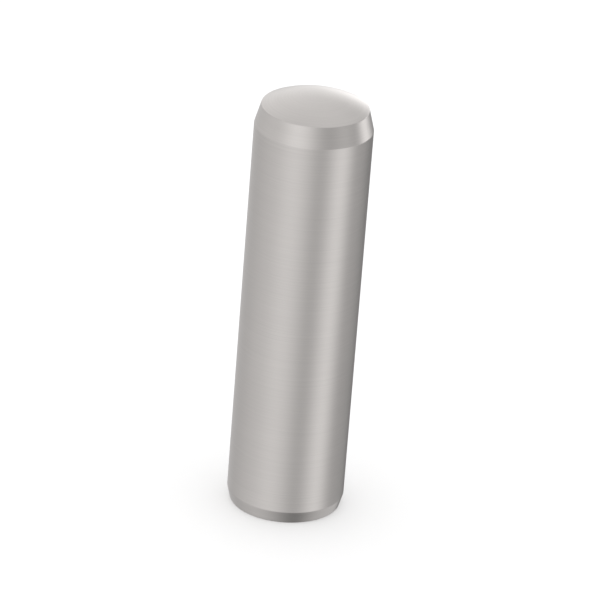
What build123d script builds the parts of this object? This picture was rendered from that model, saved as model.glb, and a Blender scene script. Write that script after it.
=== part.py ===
from build123d import *
import math
import os

# Hardened steel dowel pin: one bar, turned to its ends and ground to size on the outside.
# The origin is the centre of the flat tail face. +Z runs along the axis to the domed lead end.

# Driving sizes, in millimetres
pin_diameter = 8.0           # the ground shank
pin_length = 30.0            # flat tail face to the crown of the dome
lead_chamfer_length = 1.44   # measured along the axis, at the domed end
tail_chamfer_length = 0.87   # measured along the axis, at the flat end
dome_radius = 8.0            # spherical face that closes the lead end
lead_rim_round = 0.08        # tumbled edge between the dome and its chamfer
tail_rim_round = 0.08        # tumbled edge between the flat face and its chamfer
shoulder_round = 0.25        # tumbled edge where each chamfer meets the shank

# Driving angles, in degrees between each chamfer and the axis
lead_chamfer_angle = 15.0
tail_chamfer_angle = 15.0

# Sizes that follow from the driving ones
shank_radius = pin_diameter / 2
lead_rim_radius = shank_radius - lead_chamfer_length * math.tan(math.radians(lead_chamfer_angle))
tail_rim_radius = shank_radius - tail_chamfer_length * math.tan(math.radians(tail_chamfer_angle))
dome_height = dome_radius - math.sqrt(dome_radius**2 - lead_rim_radius**2)
lead_rim_z = pin_length - dome_height
shank_top_z = lead_rim_z - lead_chamfer_length
shank_bottom_z = tail_chamfer_length

# Corners of the half section, as distance from the axis and height above the tail face
tail_centre = (0, 0)
tail_rim = (tail_rim_radius, 0)
shank_bottom = (shank_radius, shank_bottom_z)
shank_top = (shank_radius, shank_top_z)
lead_rim = (lead_rim_radius, lead_rim_z)
crown = (0, pin_length)
rounded_corners = (
    (tail_rim, tail_rim_round),
    (shank_bottom, shoulder_round),
    (shank_top, shoulder_round),
    (lead_rim, lead_rim_round),
)


def half_section():
    """Half of the pin's lengthwise section, from the axis outwards, with its corners rounded."""
    with BuildSketch(Plane.XZ) as section:
        with BuildLine():
            Polyline(tail_centre, tail_rim, shank_bottom, shank_top, lead_rim)
            RadiusArc(lead_rim, crown, -dome_radius)
            Line(crown, tail_centre)
        make_face()
        for corner, corner_round in rounded_corners:
            fillet(section.vertices().sort_by_distance(corner)[0], corner_round)
    return section.sketch


def turned_pin():
    """The whole pin, turned about its axis from the half section."""
    return revolve(half_section(), axis=Axis.Z)


os.makedirs("parts", exist_ok=True)
export_step(turned_pin(), "parts/dowel_pin.step")
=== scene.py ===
from math import asin, atan, cos, degrees, pi, radians, sin, sqrt, tan

import bpy
from mathutils import Matrix, Vector


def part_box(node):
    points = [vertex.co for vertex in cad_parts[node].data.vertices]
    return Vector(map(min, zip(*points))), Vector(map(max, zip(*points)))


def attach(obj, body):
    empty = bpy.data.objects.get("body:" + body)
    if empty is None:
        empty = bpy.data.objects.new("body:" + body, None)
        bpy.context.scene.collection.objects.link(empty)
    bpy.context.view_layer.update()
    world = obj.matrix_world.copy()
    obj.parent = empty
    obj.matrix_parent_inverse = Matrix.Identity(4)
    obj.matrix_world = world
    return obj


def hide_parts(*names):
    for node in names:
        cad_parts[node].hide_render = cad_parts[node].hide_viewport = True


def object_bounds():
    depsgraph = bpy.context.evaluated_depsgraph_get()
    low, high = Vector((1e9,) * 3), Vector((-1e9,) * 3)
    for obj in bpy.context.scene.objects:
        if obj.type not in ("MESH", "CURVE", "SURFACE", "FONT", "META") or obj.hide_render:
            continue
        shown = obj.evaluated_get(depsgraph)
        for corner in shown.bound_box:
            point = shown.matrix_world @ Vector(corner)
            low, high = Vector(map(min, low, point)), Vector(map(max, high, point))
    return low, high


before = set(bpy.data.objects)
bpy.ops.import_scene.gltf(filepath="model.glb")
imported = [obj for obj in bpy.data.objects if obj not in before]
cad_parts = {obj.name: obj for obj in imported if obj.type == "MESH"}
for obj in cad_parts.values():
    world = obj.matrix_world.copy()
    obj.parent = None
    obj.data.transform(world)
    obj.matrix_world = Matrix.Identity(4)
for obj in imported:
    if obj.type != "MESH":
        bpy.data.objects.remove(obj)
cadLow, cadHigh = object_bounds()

# The skin of the pin. Its thickness and length come from the frame, in metres.
pinShape = {
    "chamferAngle": 15.0,        # both chamfers, degrees off the axis
    "leadChamfer": 0.00144,      # along the axis, under the dome
    "tailChamfer": 0.00087,      # along the axis, at the flat end
    "domeRadius": 0.008,
    "rimRound": 0.00008,         # tumbled edge of the dome and of the flat face
    "shoulderRound": 0.00025,    # where a chamfer runs into the shank
    "sides": 192,                # facets round the pin
    "domeRings": 30,             # rings of facets along each stretch, from the crown down
    "leadRimRings": 8,
    "leadChamferRings": 3,
    "shoulderRings": 5,
    "shankRings": 24,
    "tailChamferRings": 2,
    "tailRimRings": 10,
    "faceRings": 8,
}


def arcPoints(middle, radius, start, end, steps):
    # each point is (out from the axis, height, facing), facing in degrees from straight up
    points = []
    for step in range(steps + 1):
        facing = start + (end - start) * step / steps
        turn = radians(facing)
        points.append((middle[0] + radius * sin(turn), middle[1] + radius * cos(turn), facing))
    return points


def straightPoints(first, last, steps):
    # the rings between two arcs, both ends left out
    points = []
    for step in range(1, steps):
        share = step / steps
        out = first[0] + (last[0] - first[0]) * share
        height = first[1] + (last[1] - first[1]) * share
        points.append((out, height, first[2]))
    return points


def pinSection(shape, low, high):
    # half of the lengthwise section, from the crown down to the middle of the flat face
    radius = min(high.x - low.x, high.y - low.y) / 2
    angle = shape["chamferAngle"]
    slope = radians(angle)
    domeRadius = shape["domeRadius"]
    rim = shape["rimRound"]
    shoulder = shape["shoulderRound"]

    domeMiddle = high.z - domeRadius
    leadRim = radius - shape["leadChamfer"] * tan(slope)
    shankTop = domeMiddle + sqrt(domeRadius ** 2 - leadRim ** 2) - shape["leadChamfer"]
    shankBottom = low.z + shape["tailChamfer"]
    tailRim = radius - shape["tailChamfer"] * tan(slope)

    # the rim's round touches both the dome and the chamfer, so its middle lies its own radius inside each
    reach = radius * cos(slope) + (shankTop - domeMiddle) * sin(slope) - rim
    leave = asin(reach / (domeRadius - rim)) - slope
    rimMiddle = ((domeRadius - rim) * sin(leave), domeMiddle + (domeRadius - rim) * cos(leave))
    setBack = shoulder * tan(slope / 2)
    tailMiddle = (tailRim - rim * tan(radians(90 - angle) / 2), low.z + rim)

    shoulderRings = shape["shoulderRings"]
    dome = arcPoints((0, domeMiddle), domeRadius, 0, degrees(leave), shape["domeRings"])
    leadRound = arcPoints(rimMiddle, rim, degrees(leave), 90 - angle, shape["leadRimRings"])[1:]
    topMiddle = (radius - shoulder, shankTop - setBack)
    top = arcPoints(topMiddle, shoulder, 90 - angle, 90, shoulderRings)
    bottomMiddle = (radius - shoulder, shankBottom + setBack)
    bottom = arcPoints(bottomMiddle, shoulder, 90, 90 + angle, shoulderRings)
    tailRound = arcPoints(tailMiddle, rim, 90 + angle, 180, shape["tailRimRings"])
    middle = (0, low.z, 180)

    upper = dome + leadRound + straightPoints(leadRound[-1], top[0], shape["leadChamferRings"]) + top
    shank = straightPoints(top[-1], bottom[0], shape["shankRings"])
    lower = bottom + straightPoints(bottom[-1], tailRound[0], shape["tailChamferRings"]) + tailRound
    face = straightPoints(tailRound[-1], middle, shape["faceRings"]) + [middle]
    shankStart = len(upper) - 1
    shankEnd = len(upper) + len(shank)
    return upper + shank + lower + face, shankStart, shankEnd


# places of the two finishes in the skin's list of materials
groundSlot = 0
turnedSlot = 1


def turnedSkin(name, section, sides, shankStart, shankEnd):
    # spins the section round the axis; the first and the last point are poles
    rings = section[1:-1]
    vertices = [(0, 0, section[0][1])]
    facings = [(0, 0, 1)]
    for out, height, facing in rings:
        for side in range(sides):
            turn = 2 * pi * side / sides
            vertices.append((out * cos(turn), out * sin(turn), height))
            lean = radians(facing)
            facings.append((sin(lean) * cos(turn), sin(lean) * sin(turn), cos(lean)))
    vertices.append((0, 0, section[-1][1]))
    facings.append((0, 0, -1))

    faces = []
    finishes = []
    lastRing = 1 + (len(rings) - 1) * sides
    for side in range(sides):
        after = (side + 1) % sides
        faces.append((0, 1 + side, 1 + after))
        faces.append((len(vertices) - 1, lastRing + after, lastRing + side))
        finishes += [turnedSlot, turnedSlot]
        for ring in range(len(rings) - 1):
            above = 1 + ring * sides
            below = above + sides
            faces.append((above + side, below + side, below + after, above + after))
            finishes.append(groundSlot if shankStart <= ring + 1 < shankEnd else turnedSlot)

    mesh = bpy.data.meshes.new(name)
    mesh.from_pydata(vertices, [], faces)
    mesh.polygons.foreach_set("material_index", finishes)
    mesh.shade_smooth()
    mesh.normals_split_custom_set_from_vertices(facings)
    mesh.update()
    skin = bpy.data.objects.new(name, mesh)
    bpy.context.scene.collection.objects.link(skin)
    return skin


# Ground on the shank, turned on the ends: bare hardened steel with fine marks running round the axis.
shankFinish = {
    "steel": (0.71, 0.68, 0.66),
    "roughness": 0.30,
    "drawnOut": 0.5,             # how far the marks stretch a highlight along the pin
    "markSpacing": 0.00006,      # metres from mark to mark
    "markLength": 0.006,         # metres that a mark runs before it fades
    "markDepth": 0.0000008,      # metres
    "markTone": 0.08,            # share that the marks make it lighter or darker
    "markDetail": 4.0,           # finer and finer marks inside the marks
    "markRaggedness": 0.65,
    "cloudSize": 0.006,          # metres across the soft patches left by handling and oil
    "cloudTone": 0.02,
    "cloudDetail": 2.0,
    "cloudRoughness": 0.03,
}
endFinish = dict(shankFinish, drawnOut=0.2, markSpacing=0.00009, markDepth=0.0000012)


def addNode(tree, kind, place, **values):
    node = tree.nodes.new(kind)
    node.location = place
    for name, value in values.items():
        setattr(node, name, value)
    return node


def steelMaterial(name, finish):
    material = bpy.data.materials.new(name)
    material.use_nodes = True
    tree = material.node_tree
    link = tree.links.new
    shader = tree.nodes["Principled BSDF"]
    shader.inputs["Metallic"].default_value = 1.0
    shader.inputs["Anisotropic"].default_value = finish["drawnOut"]
    shader.inputs["Anisotropic Rotation"].default_value = 0.25    # highlights stretch across the marks

    tangent = addNode(tree, "ShaderNodeTangent", (-200, -400), direction_type="RADIAL", axis="Z")
    link(tangent.outputs["Tangent"], shader.inputs["Tangent"])

    # travel is the way of the tool: inwards over the faces, along the shank and the chamfers
    where = addNode(tree, "ShaderNodeTexCoord", (-1700, 0))
    split = addNode(tree, "ShaderNodeSeparateXYZ", (-1500, 0))
    across = addNode(tree, "ShaderNodeCombineXYZ", (-1300, 150))
    out = addNode(tree, "ShaderNodeVectorMath", (-1100, 150), operation="LENGTH")
    travel = addNode(tree, "ShaderNodeMath", (-900, 100), operation="SUBTRACT")
    link(where.outputs["Object"], split.inputs[0])
    link(split.outputs["X"], across.inputs["X"])
    link(split.outputs["Y"], across.inputs["Y"])
    link(across.outputs[0], out.inputs[0])
    link(out.outputs["Value"], travel.inputs[0])
    link(split.outputs["Z"], travel.inputs[1])

    # marks: noise squeezed along the travel and stretched round the axis
    stretched = addNode(tree, "ShaderNodeCombineXYZ", (-700, 100))
    squeeze = addNode(tree, "ShaderNodeVectorMath", (-500, 100), operation="DIVIDE")
    squeeze.inputs[1].default_value = (finish["markLength"], finish["markLength"], finish["markSpacing"])
    marks = addNode(tree, "ShaderNodeTexNoise", (-300, 100))
    marks.inputs["Scale"].default_value = 1.0
    marks.inputs["Detail"].default_value = finish["markDetail"]
    marks.inputs["Roughness"].default_value = finish["markRaggedness"]
    link(split.outputs["X"], stretched.inputs["X"])
    link(split.outputs["Y"], stretched.inputs["Y"])
    link(travel.outputs[0], stretched.inputs["Z"])
    link(stretched.outputs[0], squeeze.inputs[0])
    link(squeeze.outputs[0], marks.inputs["Vector"])

    clouds = addNode(tree, "ShaderNodeTexNoise", (-300, -200))
    clouds.inputs["Scale"].default_value = 1 / finish["cloudSize"]
    clouds.inputs["Detail"].default_value = finish["cloudDetail"]
    link(where.outputs["Object"], clouds.inputs["Vector"])

    # tone: the steel, a little lighter or darker along the marks and in the clouds
    markTone = addNode(tree, "ShaderNodeMapRange", (-100, 300))
    markTone.inputs["To Min"].default_value = 1 - finish["markTone"]
    markTone.inputs["To Max"].default_value = 1 + finish["markTone"]
    cloudTone = addNode(tree, "ShaderNodeMapRange", (-100, 500))
    cloudTone.inputs["To Min"].default_value = 1 - finish["cloudTone"]
    cloudTone.inputs["To Max"].default_value = 1 + finish["cloudTone"]
    tone = addNode(tree, "ShaderNodeMath", (100, 400), operation="MULTIPLY")
    shade = addNode(tree, "ShaderNodeVectorMath", (300, 400), operation="SCALE")
    shade.inputs[0].default_value = finish["steel"]
    link(marks.outputs["Fac"], markTone.inputs["Value"])
    link(clouds.outputs["Fac"], cloudTone.inputs["Value"])
    link(markTone.outputs[0], tone.inputs[0])
    link(cloudTone.outputs[0], tone.inputs[1])
    link(tone.outputs[0], shade.inputs["Scale"])
    link(shade.outputs[0], shader.inputs["Base Color"])

    roughness = addNode(tree, "ShaderNodeMapRange", (100, -200))
    roughness.inputs["To Min"].default_value = finish["roughness"] - finish["cloudRoughness"]
    roughness.inputs["To Max"].default_value = finish["roughness"] + finish["cloudRoughness"]
    link(clouds.outputs["Fac"], roughness.inputs["Value"])
    link(roughness.outputs[0], shader.inputs["Roughness"])

    bump = addNode(tree, "ShaderNodeBump", (100, -500))
    bump.inputs["Distance"].default_value = finish["markDepth"]
    link(marks.outputs["Fac"], bump.inputs["Height"])
    link(bump.outputs["Normal"], shader.inputs["Normal"])
    return material


def makePin(low, high):
    section, shankStart, shankEnd = pinSection(pinShape, low, high)
    pin = turnedSkin("dowelPinSkin", section, pinShape["sides"], shankStart, shankEnd)
    pin.data.materials.append(steelMaterial("groundSteel", shankFinish))
    pin.data.materials.append(steelMaterial("turnedSteel", endFinish))
    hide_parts("dowel_pin")
    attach(pin, "root")
    print("pin:", len(pin.data.polygons), "faces")
    shankTop, shankBottom = section[shankStart][1], section[shankEnd][1]
    return (shankTop + shankBottom) / 2


# A pale floor that the steel doesn't mirror, so the soft panels alone shade the pin.
floorLook = {
    "size": 8.0,
    "clearance": 0.00001,        # under the pin, so that the two faces never share a plane
    "tone": (0.90, 0.90, 0.90),
    "skylight": 1.6,             # soft light from straight above
    "skylightSpread": 150.0,     # degrees
}


def makeFloor(pinBottom):
    half = floorLook["size"] / 2
    height = pinBottom - floorLook["clearance"]
    corners = [(-half, -half, height), (half, -half, height), (half, half, height), (-half, half, height)]
    mesh = bpy.data.meshes.new("floor")
    mesh.from_pydata(corners, [], [(0, 1, 2, 3)])
    floor = bpy.data.objects.new("floor", mesh)
    bpy.context.scene.collection.objects.link(floor)
    floor.visible_glossy = False
    paint = bpy.data.materials.new("paleFloor")
    paint.use_nodes = True
    shader = paint.node_tree.nodes["Principled BSDF"]
    shader.inputs["Base Color"].default_value = (*floorLook["tone"], 1)
    shader.inputs["Roughness"].default_value = 1.0               # dead matt
    shader.inputs["Specular IOR Level"].default_value = 0.0
    mesh.materials.append(paint)

    skylight = bpy.data.lights.new("skylight", "SUN")
    skylight.energy = floorLook["skylight"]
    skylight.angle = radians(floorLook["skylightSpread"])
    skylight.use_shadow = False          # only the panels throw the soft shadow
    lamp = bpy.data.objects.new("skylight", skylight)
    bpy.context.scene.collection.objects.link(lamp)
    lamp.visible_glossy = False
    print("floor and skylight made")


# Soft panels and dark flags all round, for the steel to mirror. Directions are in degrees: azimuth 0
# is the photographer's side, 90 is the right, and height counts up from the horizon. Wide and tall
# count from the middle to the faded edge, with the distance to the pin as 1. A later panel hangs in
# front of an earlier one.
studio = {
    "room": 0.7,
    "backdrop": 1.05,
    "panels": {
        "frontWindow": {"azimuth": -30, "height": 0, "wide": 0.8, "tall": 0.8, "bright": 1.0},
        "backWall": {"azimuth": 180, "height": 20, "wide": 1.2, "tall": 1.0, "bright": 0.9},
        "leftFlag": {"azimuth": -130, "height": -40, "wide": 1.0, "tall": 0.9, "bright": 0.5},
        "darkTable": {"azimuth": 40, "height": -70, "wide": 0.9, "tall": 1.3, "bright": 0.1},
        "rightFlag": {"azimuth": 60, "height": 0, "wide": 1.5, "tall": 0.6, "bright": 0.2},
        "rightSoftbox": {"azimuth": 60, "height": -20, "wide": 0.8, "tall": 0.7, "bright": 1.0},
        "backSoftbox": {"azimuth": 160, "height": 10, "wide": 0.8, "tall": 0.4, "bright": 1.3},
        "rightStrip": {"azimuth": 120, "height": -10, "wide": 0.6, "tall": 0.3, "bright": 1.7},
        "sideFlag": {"azimuth": 110, "height": -30, "wide": 0.7, "tall": 0.3, "bright": 0.4},
        "highFlag": {"azimuth": 130, "height": 30, "wide": 1.2, "tall": 0.6, "bright": 0.6},
        "rimStrip": {"azimuth": 170, "height": -10, "wide": 0.3, "tall": 0.4, "bright": 2.0},
        "lowFlag": {"azimuth": 140, "height": -20, "wide": 1.3, "tall": 0.3, "bright": 0.2},
        "edgeFlag": {"azimuth": 170, "height": -30, "wide": 0.5, "tall": 0.4, "bright": 0.1},
    },
}


def makeStudio():
    world = bpy.data.worlds.new("softStudio")
    world.use_nodes = True
    tree = world.node_tree
    link = tree.links.new
    tree.nodes.clear()
    where = addNode(tree, "ShaderNodeTexCoord", (-1400, 0))

    light = None
    for number, panel in enumerate(studio["panels"].values()):
        drop = -320 * number
        azimuth = radians(panel["azimuth"])
        height = radians(panel["height"])
        centre = Vector((sin(azimuth) * cos(height), -cos(azimuth) * cos(height), sin(height)))
        hang = addNode(tree, "ShaderNodeMapping", (-1200, drop), vector_type="TEXTURE")
        hang.inputs["Location"].default_value = centre
        hang.inputs["Rotation"].default_value = (pi / 2 - height, 0, azimuth)
        hang.inputs["Scale"].default_value = (panel["wide"], panel["tall"], 1)
        fade = addNode(tree, "ShaderNodeTexGradient", (-1000, drop), gradient_type="SPHERICAL")
        soften = addNode(tree, "ShaderNodeMapRange", (-800, drop), interpolation_type="SMOOTHSTEP")
        cover = addNode(tree, "ShaderNodeMix", (-600 + 60 * number, drop), data_type="FLOAT")
        link(where.outputs["Generated"], hang.inputs["Vector"])
        link(hang.outputs[0], fade.inputs["Vector"])
        link(fade.outputs["Fac"], soften.inputs["Value"])
        link(soften.outputs[0], cover.inputs["Factor"])
        if light is None:
            cover.inputs["A"].default_value = studio["room"]
        else:
            link(light, cover.inputs["A"])
        cover.inputs["B"].default_value = panel["bright"]
        light = cover.outputs["Result"]

    # the backdrop behind the floor's edge is plain white; only the steel sees the panels
    path = addNode(tree, "ShaderNodeLightPath", (100, 300))
    panels = addNode(tree, "ShaderNodeBackground", (100, 0))
    plain = addNode(tree, "ShaderNodeBackground", (100, -200))
    plain.inputs["Strength"].default_value = studio["backdrop"]
    plain.inputs["Color"].default_value = (1, 1, 1, 1)
    panels.inputs["Color"].default_value = (1, 1, 1, 1)
    choose = addNode(tree, "ShaderNodeMixShader", (300, 0))
    output = addNode(tree, "ShaderNodeOutputWorld", (500, 0))
    link(light, panels.inputs["Strength"])
    link(path.outputs["Is Camera Ray"], choose.inputs[0])
    link(panels.outputs[0], choose.inputs[1])
    link(plain.outputs[0], choose.inputs[2])
    link(choose.outputs[0], output.inputs["Surface"])
    bpy.context.scene.world = world
    print("studio:", len(studio["panels"]), "panels and flags")


# The camera looks down on the pin from the front, rolled so that the pin leans to the right.
cameraView = {
    "elevation": 24.7,           # degrees above the horizon
    "distance": 0.346,           # metres to the middle of the shank
    "roll": 4.55,                # degrees
    "lens": 307.6,               # millimetres
    "sensor": 36.0,
    "pictureSize": 600,          # pixels
    "middleX": 299.5,            # pixels, where the middle of the shank lies in the picture
    "middleY": 309.1,
    "nearest": 0.01,             # metres, what it sees begins and ends here
    "farthest": 20.0,
}


def makeCamera(middle):
    view = cameraView
    elevation = radians(view["elevation"])
    focalPixels = view["lens"] / view["sensor"] * view["pictureSize"]
    centre = view["pictureSize"] / 2
    data = bpy.data.cameras.new("camera")
    data.sensor_width = view["sensor"]
    data.lens = view["lens"]
    data.clip_start = view["nearest"]
    data.clip_end = view["farthest"]
    camera = bpy.data.objects.new("camera", data)
    bpy.context.scene.collection.objects.link(camera)
    back = Vector((0, -cos(elevation), sin(elevation)))
    lookDown = Matrix.Rotation(pi / 2 - elevation, 3, "X")
    lean = Matrix.Rotation(radians(view["roll"]), 3, "Z")
    aimAcross = Matrix.Rotation(atan((view["middleX"] - centre) / focalPixels), 3, "Y")
    aimUp = Matrix.Rotation(atan((view["middleY"] - centre) / focalPixels), 3, "X")
    turn = lookDown @ lean @ aimAcross @ aimUp
    camera.matrix_world = Matrix.Translation(middle + back * view["distance"]) @ turn.to_4x4()
    bpy.context.scene.camera = camera
    print("camera set")


shankMiddle = makePin(*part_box("dowel_pin"))
makeFloor(cadLow.z)
makeStudio()
makeCamera(Vector((0, 0, shankMiddle)))
bpy.context.scene.view_settings.view_transform = "Standard"
